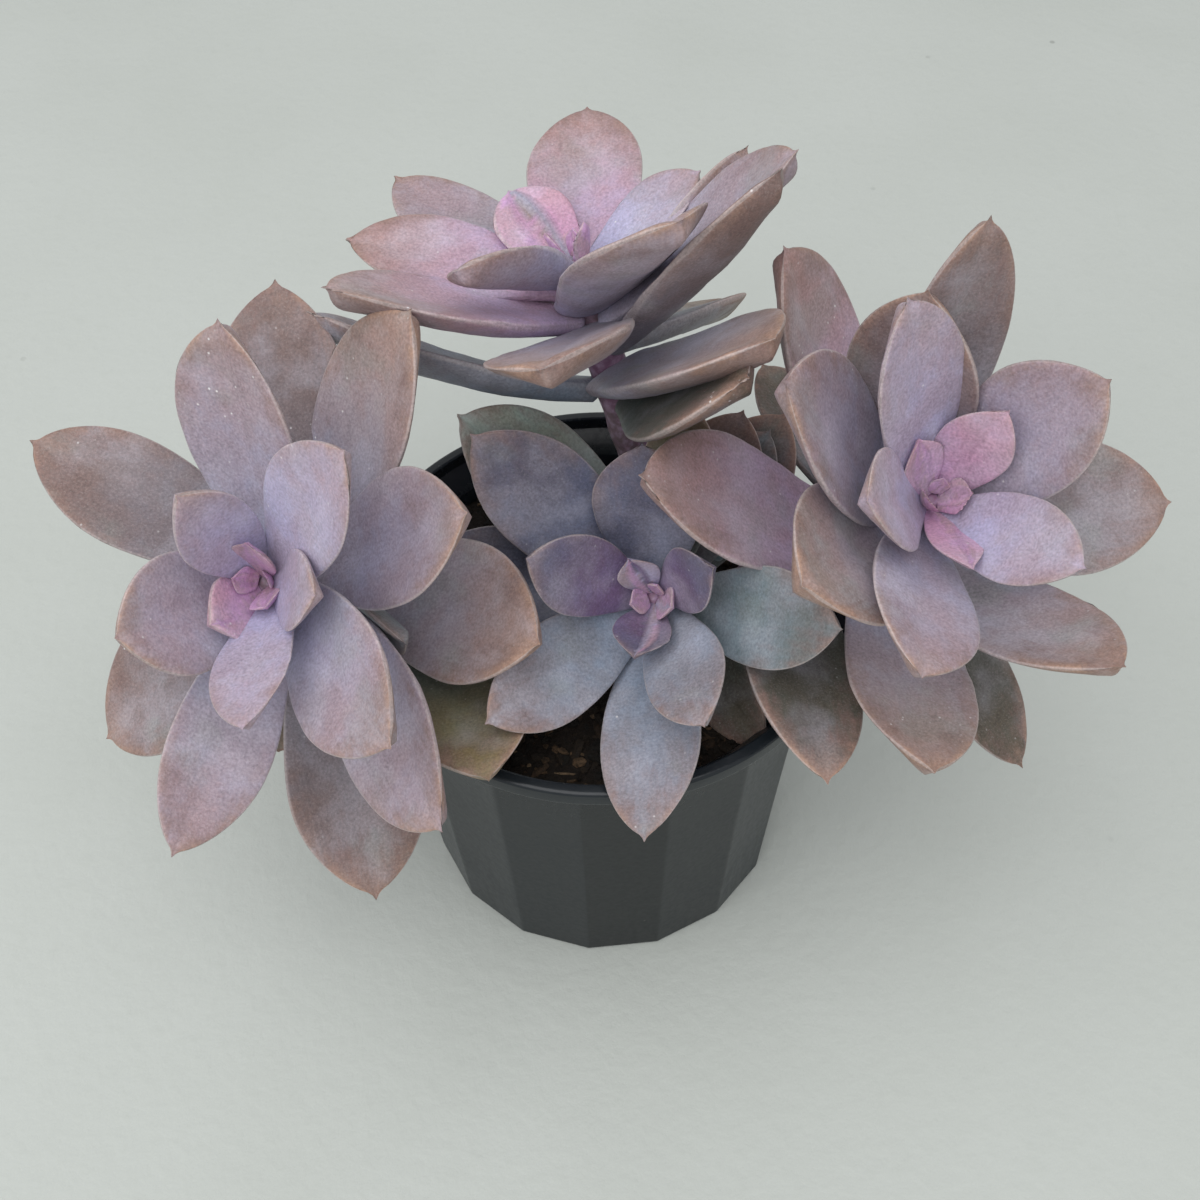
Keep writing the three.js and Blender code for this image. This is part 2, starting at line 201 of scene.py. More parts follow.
def turn_section(work: bmesh.types.BMesh, section: Sequence[Pair], steps: int) -> None:
    """Turn a section about the upright axis into a closed skin.

    Args:
        work: The mesh that the skin joins.
        section: Points as (radius, height), from the axis round and back to it.
        steps: Faces round the axis.
    """
    verts = [work.verts.new((r, 0.0, z)) for r, z in section]
    edges = [work.edges.new(pair) for pair in zip(verts, verts[1:])]
    bmesh.ops.spin(
        work, geom=[*verts, *edges], cent=(0, 0, 0), axis=(0, 0, 1), dvec=(0, 0, 0),
        angle=2 * math.pi, steps=steps, use_merge=True, use_duplicate=False,
    )
    bmesh.ops.remove_doubles(work, verts=work.verts, dist=WELD)


def make_object(name: str, work: bmesh.types.BMesh) -> bpy.types.Object:
    """Turn work in millimetres into an object in the scene.

    Args:
        name: The object's name.
        work: The mesh being made, which is freed.

    Returns:
        The object.
    """
    bmesh.ops.recalc_face_normals(work, faces=work.faces)
    bmesh.ops.scale(work, vec=(MM, MM, MM), verts=work.verts)
    mesh = bpy.data.meshes.new(name)
    work.to_mesh(mesh)
    work.free()
    made = bpy.data.objects.new(name, mesh)
    bpy.context.scene.collection.objects.link(made)
    return made


class Slot(Enum):
    """The record's material slots."""

    POT = "pot_plastic"
    SOIL = "soil"
    STEM = "stem"
    HEART = "leaf_heart"
    YOUNG = "leaf_young"
    GROWN = "leaf_grown"


class Tone(Enum):
    """A leaf's skin as (colour at the base, colour near the tip, blush, wear)."""

    PINK = ((0.546, 0.304, 0.454), (0.547, 0.34, 0.409), 0.3, 0.2)
    ROSE = ((0.481, 0.332, 0.447), (0.401, 0.251, 0.239), 0.6, 0.9)
    LILAC = ((0.414, 0.356, 0.472), (0.434, 0.33, 0.388), 0.6, 0.5)
    MAUVE = ((0.352, 0.306, 0.386), (0.373, 0.27, 0.293), 0.8, 0.8)
    # The next tone is an older leaf's darker mauve with painted shade in it, for leaves that face away
    # from the light.
    DUSK = ((0.183, 0.154, 0.171), (0.228, 0.153, 0.136), 0.8, 1.0)
    SLATE = ((0.121, 0.126, 0.19), (0.144, 0.126, 0.167), 0.5, 0.6)
    VIOLET = ((0.17, 0.101, 0.188), (0.133, 0.116, 0.174), 0.4, 0.3)
    SILVER = ((0.253, 0.276, 0.334), (0.282, 0.248, 0.271), 0.6, 0.9)
    SAGE = ((0.172, 0.219, 0.23), (0.205, 0.217, 0.217), 0.4, 0.8)
    # The next tone is an old leaf's olive, darkened nearly to black as painted shade for leaves that lie
    # low in shadow.
    OLIVE = ((0.076, 0.084, 0.071), (0.118, 0.095, 0.071), 0.9, 1.1)
    MOSS = ((0.134, 0.151, 0.128), (0.25, 0.192, 0.089), 1.2, 0.9)
    PALE = ((0.304, 0.35, 0.281), (0.341, 0.376, 0.318), 0.3, 0.9)
    AMBER = ((0.345, 0.298, 0.356), (0.381, 0.254, 0.22), 1.4, 1.1)
    DRIED = ((0.297, 0.285, 0.309), (0.378, 0.286, 0.217), 1.4, 1.7)


class Graph:
    """A material's node tree, built by short calls."""

    def __init__(self, name: str) -> None:
        """Start an empty tree with its shader and output."""
        self.material = bpy.data.materials.new(name)
        self.material.use_nodes = True
        self.tree = self.material.node_tree
        self.tree.nodes.clear()
        self.shader = self.tree.nodes.new("ShaderNodeBsdfPrincipled")
        output = self.tree.nodes.new("ShaderNodeOutputMaterial")
        self.tree.links.new(self.shader.outputs["BSDF"], output.inputs["Surface"])

    def put(self, socket: Socket, value: object) -> None:
        """Link a socket, or set its number or colour."""
        if isinstance(value, Socket):
            self.tree.links.new(value, socket)
        elif isinstance(value, tuple) and socket.type == "RGBA" and len(value) == 3:
            socket.default_value = (*value, 1.0)
        else:
            socket.default_value = value

    def node(
        self, kind: str, output: str | int, inputs: dict[str | int, object], **settings: object
    ) -> Socket:
        """Add a node, link or set its inputs by name or number, and give one of its outputs."""
        made = self.tree.nodes.new(kind)
        for key, value in settings.items():
            setattr(made, key, value)
        for key, value in inputs.items():
            self.put(made.inputs[key], value)
        return made.outputs[output]

    def place(self) -> Socket:
        """Give the object's own coordinates, in metres."""
        return self.node("ShaderNodeTexCoord", "Object", {})

    def mark(self, name: str, output: str = "Fac") -> Socket:
        """Give what is painted on the mesh: a number, or else its Color or its Vector."""
        return self.node("ShaderNodeAttribute", output, {}, attribute_name=name)

    def stretch(self, source: Socket, scale: Triple) -> Socket:
        """Scale a vector along its axes."""
        return self.node("ShaderNodeMapping", "Vector", {"Vector": source, "Scale": scale})

    def noise(self, source: Socket, scale: float, detail: float = 3.0, rough: float = 0.55) -> Socket:
        """Give cloudy noise from 0 to 1."""
        inputs = {"Vector": source, "Scale": scale, "Detail": detail, "Roughness": rough}
        return self.node("ShaderNodeTexNoise", "Fac", inputs)

    def cells(self, source: Socket, scale: float) -> Socket:
        """Give the distance to the nearest of many scattered points."""
        return self.node("ShaderNodeTexVoronoi", "Distance", {"Vector": source, "Scale": scale})

    def math(self, operation: str, a: object, b: object) -> Socket:
        """Work on two numbers."""
        return self.node("ShaderNodeMath", 0, {0: a, 1: b}, operation=operation)

    def sum(self, a: object, b: object) -> Socket:
        """Add two numbers."""
        return self.math("ADD", a, b)

    def times(self, a: object, b: object) -> Socket:
        """Multiply two numbers."""
        return self.math("MULTIPLY", a, b)

    def blend(self, *parts: tuple[Socket, float]) -> Socket:
        """Add up numbers, each multiplied by its weight."""
        return reduce(self.sum, (self.times(value, weight) for value, weight in parts))

    def ramp(
        self, value: object, low: float, high: float, start: float = 0.0, end: float = 1.0
    ) -> Socket:
        """Ease a number from start to end as it goes from low to high."""
        inputs = {"Value": value, "From Min": low, "From Max": high, "To Min": start, "To Max": end}
        return self.node("ShaderNodeMapRange", "Result", inputs, interpolation_type="SMOOTHSTEP")

    def mix(self, part: object, a: object, b: object, blend: str = "MIX") -> Socket:
        """Mix two colours."""
        inputs = {0: part, 6: a, 7: b}
        return self.node("ShaderNodeMix", 2, inputs, data_type="RGBA", blend_type=blend)

    def shaded(self, colour: Socket, value: Socket) -> Socket:
        """Multiply a colour by a number."""
        parts = dict.fromkeys(("Red", "Green", "Blue"), value)
        return self.mix(1.0, colour, self.node("ShaderNodeCombineColor", "Color", parts), "MULTIPLY")

    def dots(self, place: Socket, scale: float, size: Pair, patch_scale: float, patch: Pair) -> Socket:
        """Give 1 on small round dots, which lie in patches, and 0 off them."""
        round_dots = self.ramp(self.cells(place, scale), *size, 1.0, 0.0)
        return self.times(round_dots, self.ramp(self.noise(place, patch_scale, 2.0), *patch))

    def bump(self, height: Socket, depth: float) -> None:
        """Raise the surface by a height map of the given depth in metres."""
        inputs = {"Strength": 1.0, "Distance": depth, "Height": height}
        self.set(Normal=self.node("ShaderNodeBump", "Normal", inputs))

    def set(self, **values: object) -> None:
        """Set or link the shader's own sockets, named with _ for each space."""
        for key, value in values.items():
            self.put(self.shader.inputs[key.replace("_", " ")], value)


@dataclass(frozen=True)
class LeafSkin:
    """Waxy leaf skin: a powdery bloom, rubbed brown patches, warm margins, pale specks and a painted
    highlight along the margins.
    """

    bloom: Colour = (0.55, 0.54, 0.63)
    rubbed: Colour = (0.185, 0.115, 0.105)
    margin: Colour = (0.37, 0.235, 0.175)
    # Painted highlight: the pale colour of the line along each leaf's margin.
    margin_highlight: Colour = (0.58, 0.51, 0.50)
    speck: Colour = (0.78, 0.76, 0.76)
    cool: Colour = (0.92, 1.02, 1.09)
    green: Colour = (0.26, 0.29, 0.27)
    broad_scale: float = 55.0
    green_scale: float = 62.0
    drift_scale: float = 95.0
    cloud_scale: float = 190.0
    grain_scale: float = 1900.0
    powder_scale: float = 3000.0
    streak_scale: float = 0.75
    streak_squash: float = 0.13
    bloom_share: float = 0.27
    green_share: float = 0.30
    rub_share: float = 0.78
    most: float = 0.85
    powder_share: float = 0.07
    relief: float = 0.0002

    def material(self) -> Material:
        """Build the skin's material from the marks painted on each leaf.

        Returns:
            The material.
        """
        g = Graph("leaf_skin")
        place = g.place()
        along = g.mark("along")
        edge = g.mark("edge")
        broad = g.noise(place, self.broad_scale)
        cloud = g.noise(place, self.cloud_scale, 5.0, 0.6)
        grain = g.noise(place, self.grain_scale, 2.0)
        leaf_place = g.stretch(g.mark("leaf_place", "Vector"), (1.0, self.streak_squash, 1.0))
        streak = g.noise(leaf_place, self.streak_scale, 3.0)
        drift = g.noise(g.stretch(place, (1.0, 1.0, 0.8)), self.drift_scale, 4.0, 0.62)

        skin = g.mark("skin", "Color")
        cool = g.mix(1.0, skin, self.cool, "MULTIPLY")
        colour = g.mix(g.ramp(drift, 0.40, 0.60), skin, cool)
        colour = g.mix(g.times(g.ramp(broad, 0.44, 0.64), self.bloom_share), colour, self.bloom)
        green = g.times(g.ramp(g.noise(place, self.green_scale), 0.54, 0.68), self.green_share)
        colour = g.mix(g.times(green, g.mark("wear")), colour, self.green)

        rub = g.blend((cloud, 0.32), (streak, 0.22), (drift, 0.20), (along, 0.26), (edge, 0.10))
        rub = g.times(g.ramp(rub, 0.575, 0.76), g.mark("wear"))
        colour = g.mix(g.math("MINIMUM", g.times(rub, self.rub_share), self.most), colour, self.rubbed)

        warm = g.times(g.ramp(edge, 0.62, 1.0), g.ramp(along, 0.3, 1.0))
        warm = g.blend((warm, 0.50), (g.ramp(along, 0.78, 1.02), 0.50))
        patchy = g.ramp(g.blend((broad, 0.5), (cloud, 0.5)), 0.38, 0.58, 0.0, 1.25)
        warm = g.times(g.times(warm, patchy), g.mark("blush"))
        colour = g.mix(g.math("MINIMUM", warm, self.most), colour, self.margin)

        # Painted highlight: a pale line along each leaf's margin, away from its base.
        line = g.times(g.ramp(edge, 0.955, 0.995), g.ramp(along, 0.1, 0.5, 0.12, 0.42))
        colour = g.mix(line, colour, self.margin_highlight)

        tint = g.blend((grain, 0.95), (streak, 0.24), (drift, 0.85))
        colour = g.shaded(colour, g.sum(tint, 0.02))
        powder = g.ramp(g.noise(place, self.powder_scale, 1.0), 0.55, 0.70, 0.0, self.powder_share)
        colour = g.mix(powder, colour, self.speck)
        dots = g.dots(place, 520.0, (0.05, 0.16), 130.0, (0.55, 0.68))
        colour = g.mix(g.times(dots, g.mark("specks")), colour, self.speck)

        g.set(Base_Color=colour, Roughness=g.ramp(cloud, 0.3, 0.7, 0.46, 0.62))
        g.set(Specular_IOR_Level=0.32, Sheen_Weight=0.04, Sheen_Roughness=0.45)
        g.set(Subsurface_Weight=0.06, Subsurface_Scale=0.002, Subsurface_Radius=(1.0, 0.5, 0.4))
        g.bump(g.blend((grain, 0.35), (cloud, 0.75), (streak, 0.5)), self.relief)
        return g.material


@dataclass(frozen=True)
class StemSkin:
    """Smooth purple stem skin, with dark red-brown scars where leaves have fallen."""

    purple: Colour = (0.27, 0.145, 0.235)
    green: Colour = (0.17, 0.16, 0.13)
    scar: Colour = (0.14, 0.030, 0.016)
    bloom: Colour = (0.42, 0.32, 0.44)
    broad_scale: float = 90.0
    fine_scale: float = 700.0
    relief: float = 0.0003

    def material(self) -> Material:
        """Build the stem's material.

        Returns:
            The material.
        """
        g = Graph("stem_skin")
        place = g.place()
        broad = g.noise(place, self.broad_scale)
        fine = g.noise(place, self.fine_scale, 4.0)
        colour = g.mix(g.ramp(broad, 0.4, 0.7, 0.0, 0.6), self.purple, self.green)
        colour = g.mix(g.ramp(fine, 0.40, 0.72, 0.0, 0.60), colour, self.bloom)
        colour = g.mix(g.ramp(g.mark("scar"), 0.25, 0.6), colour, self.scar)
        colour = g.shaded(colour, g.ramp(fine, 0.2, 0.8, 0.8, 1.15))
        g.set(Base_Color=colour, Roughness=g.ramp(fine, 0.3, 0.7, 0.38, 0.6))
        g.set(Specular_IOR_Level=0.45, Subsurface_Weight=0.04, Subsurface_Scale=0.002)
        g.bump(g.blend((fine, 0.6), (broad, 1.0)), self.relief)
        return g.material


@dataclass(frozen=True)
class PotPlastic:
    """Thin black moulded plastic, satin on the wall and glossier on the rim, lightly scuffed."""

    black: Colour = (0.011, 0.0145, 0.0185)
    dust: Colour = (0.060, 0.068, 0.070)
    fleck: Colour = (0.20, 0.20, 0.19)
    broad_scale: float = 38.0
    fine_scale: float = 900.0
    scuff_scale: float = 420.0
    scuff_squash: float = 0.16
    dust_share: float = 0.30
    fleck_share: float = 0.35
    relief: float = 0.00006

    def material(self) -> Material:
        """Build the pot's material.

        Returns:
            The material.
        """
        g = Graph("pot_plastic")
        place = g.place()
        broad = g.noise(place, self.broad_scale, 4.0)
        fine = g.noise(place, self.fine_scale)
        scuff = g.noise(g.stretch(place, (1.0, 1.0, self.scuff_squash)), self.scuff_scale, 4.0)
        low = g.ramp(g.mark("height"), 0.0, 0.55, 1.0, 0.25)
        dust = g.times(g.ramp(g.blend((broad, 0.6), (scuff, 0.4)), 0.42, 0.7), low)
        colour = g.mix(g.times(dust, self.dust_share), self.black, self.dust)
        # Painted reflection: each wall facet's colour is scaled by its painted shade, darker at the front
        # and paler at the sides.
        colour = g.shaded(colour, g.mark("shade"))
        flecks = g.dots(place, 260.0, (0.03, 0.075), 75.0, (0.56, 0.64))
        colour = g.mix(g.times(flecks, self.fleck_share), colour, self.fleck)
        matt = g.sum(g.ramp(fine, 0.3, 0.7, 0.0, 0.06), g.times(dust, 0.14))
        g.set(Base_Color=colour, Roughness=g.sum(matt, g.mark("satin")))
        g.set(Specular_IOR_Level=0.36)
        g.bump(g.blend((fine, 0.35), (scuff, 0.8)), self.relief)
        return g.material


@dataclass(frozen=True)
class PottingMix:
    """Damp, nearly black potting mix with each crumb its own brown."""

    dark: Colour = (0.012, 0.009, 0.007)
    fine_scale: float = 1300.0
    broad_scale: float = 160.0
    relief: float = 0.0006

    def material(self) -> Material:
        """Build the soil's material.

        Returns:
            The material.
        """
        g = Graph("potting_mix")
        place = g.place()
        fine = g.noise(place, self.fine_scale, 4.0)
        broad = g.noise(place, self.broad_scale)
        colour = g.shaded(g.mark("skin", "Color"), g.ramp(fine, 0.25, 0.75, 0.45, 1.45))
        colour = g.mix(g.ramp(broad, 0.45, 0.7, 0.0, 0.55), colour, self.dark)
        g.set(Base_Color=colour, Roughness=g.ramp(fine, 0.3, 0.7, 0.7, 0.95))
        g.set(Specular_IOR_Level=0.3)
        g.bump(fine, self.relief)
        return g.material


@dataclass(frozen=True)
class PaintedFloor:
    """Pale grey-green painted floor, faintly stained and pitted."""

    pale: Colour = (0.52, 0.545, 0.515)
    stain: Colour = (0.465, 0.49, 0.455)
    pit: Colour = (0.20, 0.21, 0.19)
    broad_scale: float = 9.0
    fine_scale: float = 260.0
    pit_share: float = 0.5
    relief: float = 0.0006

    def material(self) -> Material:
        """Build the floor's material.

        Returns:
            The material.
        """
        g = Graph("painted_floor")
        place = g.place()
        broad = g.noise(place, self.broad_scale, 4.0)
        fine = g.noise(place, self.fine_scale, 4.0)
        colour = g.mix(g.ramp(broad, 0.35, 0.75, 0.0, 0.5), self.pale, self.stain)
        colour = g.mix(g.ramp(fine, 0.5, 0.8, 0.0, 0.25), colour, self.stain)
        pits = g.dots(place, 55.0, (0.03, 0.07), 24.0, (0.58, 0.66))
        colour = g.mix(g.times(pits, self.pit_share), colour, self.pit)
        g.set(Base_Color=colour, Roughness=0.75, Specular_IOR_Level=0.25)
        g.bump(g.blend((fine, 0.5), (broad, 1.0)), self.relief)
        return g.material


@dataclass
class Painted:
    """A mesh being made, with what is painted on each of its corners."""

    work: bmesh.types.BMesh = field(default_factory=bmesh.new)
    marks: dict[str, list[float]] = field(default_factory=dict)
    colours: list[Colour] = field(default_factory=list)
    places: list[Colour] = field(default_factory=list)

    def paint(self, skin: Colour, place: Colour = (0.0, 0.0, 0.0), **marks: float) -> None:
        """Record what the next corner carries."""
        self.colours.append(skin)
        self.places.append(place)
        for name, value in marks.items():
            self.marks.setdefault(name, []).append(value)

    def finish(
        self, name: str, material: Material, nodes: Sequence[str]
    ) -> bpy.types.Object:
        """Turn the work into a finished piece that rides on the plant's body.

        Args:
            name: The piece's name.
            material: Its material.
            nodes: The frame's nodes that it stands for.

        Returns:
            The piece.
        """
        piece = make_object(name, self.work)
        mesh = piece.data
        if self.colours:
            skin = mesh.attributes.new("skin", "FLOAT_COLOR", "POINT")
            skin.data.foreach_set("color", [v for c in self.colours for v in (*c, 1.0)])
            place = mesh.attributes.new("leaf_place", "FLOAT_VECTOR", "POINT")
            place.data.foreach_set("vector", [v for p in self.places for v in p])
        for mark, values in self.marks.items():
            mesh.attributes.new(mark, "FLOAT", "POINT").data.foreach_set("value", values)
        mesh.materials.append(material)
        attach(piece, BODY)
        if nodes:
            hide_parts(*nodes)
        LOG.info("%s: %d faces", name, len(mesh.polygons))
        return piece


@dataclass(frozen=True)
class Leaf:
    """One leaf: its number on the spiral and its place and shape about its rosette.

    The shift is its turn from the spiral's own place. The depth is how far below the crown it
    grows. Rise, curl and roll are its tilt, its bend and its turn about its own length, in degrees.
    The base is the half width where it grows, as a part of the widest.
    """

    number: int
    shift: float
    depth: float
    rise: float
    length: float
    width: float
    curl: float
    roll: float
    base: float = LEAF_BASE


def stem_radius(depth: float) -> float:
    """Give the stem's radius at a depth below its crown."""
    part = min(1.0, depth / STEM_TAPER) ** STEM_SHOULDER
    return STEM_TIP_RADIUS + (STEM_RADIUS - STEM_TIP_RADIUS) * part


def bud_share(width: float) -> float:
    """Say how much of a bud's leaf a leaf of this width is, from 0 to 1."""
    return 1.0 - share(width, *LEAF_BUD_WIDTHS)


def leaf_outline(along: float, base: float, small: float) -> float:
    """Give the half width along a leaf: narrow base, broad shoulder, drawn-out point.

    Args:
        along: Where on the leaf, from base to tip.
        base: The half width at the base.
        small: 1 for a bud's leaf, which comes to a sharp point, and 0 for a large one.

    Returns:
        The half width, as a part of the widest.
    """
    if along <= LEAF_BROADEST:
        wave = math.sin(math.pi / 2 * along / LEAF_BROADEST) ** LEAF_SHOULDER
        return base + (1.0 - base) * wave
    point = LEAF_POINT + LEAF_BUD_POINT * small
    blade = (1.0 - share(along, LEAF_BROADEST, LEAF_BLADE_END) ** 2) ** point
    spine = LEAF_SPINE * (1.0 - share(along, LEAF_SPINE_START, 1.0))
    return max(blade, spine)


def leaf_thickness(along: float, width: float) -> float:
    """Give a leaf's thickness at a place along it: nearly even, then rounded off like a prow."""
    full = min(LEAF_THICKENING * width + LEAF_THICKNESS, LEAF_THICKEST * width)
    even = 1.0 - LEAF_THIN_END * share(along, LEAF_BROADEST, LEAF_PROW)
    taper = 1.0 - LEAF_BUD_TAPER * bud_share(width) * along * along
    prow = 1.0 - share(along, LEAF_PROW, LEAF_BLADE_END) ** 3
    spine = LEAF_SPINE_THICKNESS * (1.0 - share(along, LEAF_SPINE_START, 1.0))
    return full * max(even * taper * prow, spine)


@dataclass(frozen=True)
class LeafMaker:
    """Shapes leaves from spheres about one axis, and paints them."""

    crown: Vector
    axis: Vector
    start: float
    sides: int = 36
    rings: int = 40
    even_rings: float = 0.25
    sway: float = 0.025
    twist: float = 5.0
    scatter: float = 90.0
    least_specks: float = 0.15
    shut_end: float = 0.025
    ripple: float = 0.018
    ripples: float = 9.0
    groove: float = 0.10
    groove_width: float = 0.22
    groove_start: float = 0.3
    dent: float = 0.35
    dent_size: float = 11.0
    fine_dent: float = 0.35
    fine_dent_size: float = 0.3
    dent_start: float = 0.2
    tip_colour: Pair = (0.25, 0.95)
    upper_shift: float = 40.0

    def shape(self, piece: Painted, leaf: Leaf, tone: Tone, sides: int = 0, rings: int = 0) -> None:
        """Add one leaf to a piece.

        Args:
            piece: The mesh that the leaf joins.
            leaf: The leaf's place and shape.
            tone: The leaf's skin.
            sides: Faces round the leaf, or 0 for the usual number.
            rings: Faces along the leaf, or 0 for the usual number.
        """
        chance = random.Random(f"{self.start} {leaf.number} {leaf.length}")
        sway = chance.uniform(-self.sway, self.sway)
        twist = chance.uniform(-self.twist, self.twist)
        wave = chance.uniform(0.0, 2 * math.pi)
        drift = Vector([chance.uniform(-self.scatter, self.scatter) for _ in range(3)])
        specks = chance.uniform(self.least_specks, 1.0)
        axis = self.axis
        right = (Vector((1, 0, 0)) - axis * axis.x).normalized()
        away = axis.cross(right)
        turn = math.radians(self.start + leaf.number * GOLDEN_ANGLE + leaf.shift)
        out = right * math.cos(turn) + away * math.sin(turn)
        across = axis.cross(out)
        lift = math.radians(leaf.rise)
        ahead = out * math.cos(lift) + axis * math.sin(lift)
        face = axis * math.cos(lift) - out * math.sin(lift)
        seat = self.crown - axis * leaf.depth + out * (LEAF_SEAT * stem_radius(leaf.depth))
        bend = math.radians(leaf.curl if leaf.curl else LEAF_LEAST_CURL)
        skin_base, skin_tip, blush, wear = tone.value
        small = bud_share(leaf.width)

        made = bmesh.ops.create_uvsphere(
            piece.work, u_segments=sides or self.sides, v_segments=rings or self.rings, radius=1.0
        )
        for vert in made["verts"]:
            turned = math.acos(max(-1.0, min(1.0, vert.co.z))) / math.pi
            even = self.even_rings
            along = even * turned + (1.0 - even) * (0.5 - 0.5 * math.cos(math.pi * turned))
            round_off = math.hypot(vert.co.x, vert.co.y)
            at_end = round_off < LEAF_POLE
            c = 0.0 if at_end else vert.co.x / round_off
            s = 0.0 if at_end else vert.co.y / round_off
            shut = math.sqrt(share(along, 0.0, self.shut_end))
            ripple = self.ripple * math.sin(self.ripples * along + wave) * (1.0 if c > 0 else -1.0)
            half = 0.5 * leaf.width * leaf_outline(along, leaf.base, small) * (1.0 + ripple) * shut
            thick = leaf_thickness(along, leaf.width) * shut
            keel = LEAF_KEEL * share(along, LEAF_KEEL_START, LEAF_KEEL_END)
            cup = LEAF_CUP * half * c * c * share(along, 0.0, LEAF_CUP_START)
            if s >= 0:
                height = cup + LEAF_UPPER * thick * abs(s) ** LEAF_ROUNDING
                groove = self.groove * thick * math.exp(-((c / self.groove_width) ** 2))
                height -= groove * smooth(along, 0.0, self.groove_start)
            else:
                belly = (1.0 - keel) * abs(s) + keel * (1.0 - abs(c))
                height = cup - LEAF_LOWER * thick * belly
            reach = bend * along
            stretch = leaf.length / bend
            spot = seat + ahead * (stretch * math.sin(reach))
            spot += face * (stretch * (1.0 - math.cos(reach)))
            up = face * math.cos(reach) - ahead * math.sin(reach)
            roll = math.radians(leaf.roll + twist * (along - 0.5))
            sideways = across * math.cos(roll) + up * math.sin(roll)
            normal = up * math.cos(roll) - across * math.sin(roll)
            side = half * c + sway * leaf.length * along * along
            spot += sideways * side + normal * height
            dent = noise.noise((spot + drift) / self.dent_size)
            fine_size = self.fine_dent_size * self.dent_size
            dent += self.fine_dent * noise.noise((spot - drift) / fine_size)
            lean = normal * (1.0 if s >= 0 else -1.0)
            vert.co = spot + lean * (self.dent * dent * smooth(along, 0.0, self.dent_start) * shut)
            piece.paint(
                blend_colour(skin_base, skin_tip, smooth(along, *self.tip_colour)),
                (side + drift.x, along * leaf.length + drift.y, self.upper_shift if s >= 0 else 0.0),
                along=along,
                edge=abs(c) if not at_end else 1.0,
                blush=blush,
                wear=wear,
                specks=specks,
            )


BUD_LEAVES = (
    Leaf(-1, 0, 1, 72, 5.4, 3.6, 4, 0, 0.7),
    Leaf(0, 0, 1, 69, 7.6, 5, 4, 0, 0.7),
    Leaf(1, 0, 2, 66, 9.4, 6.6, 4, 0, 0.6),
)


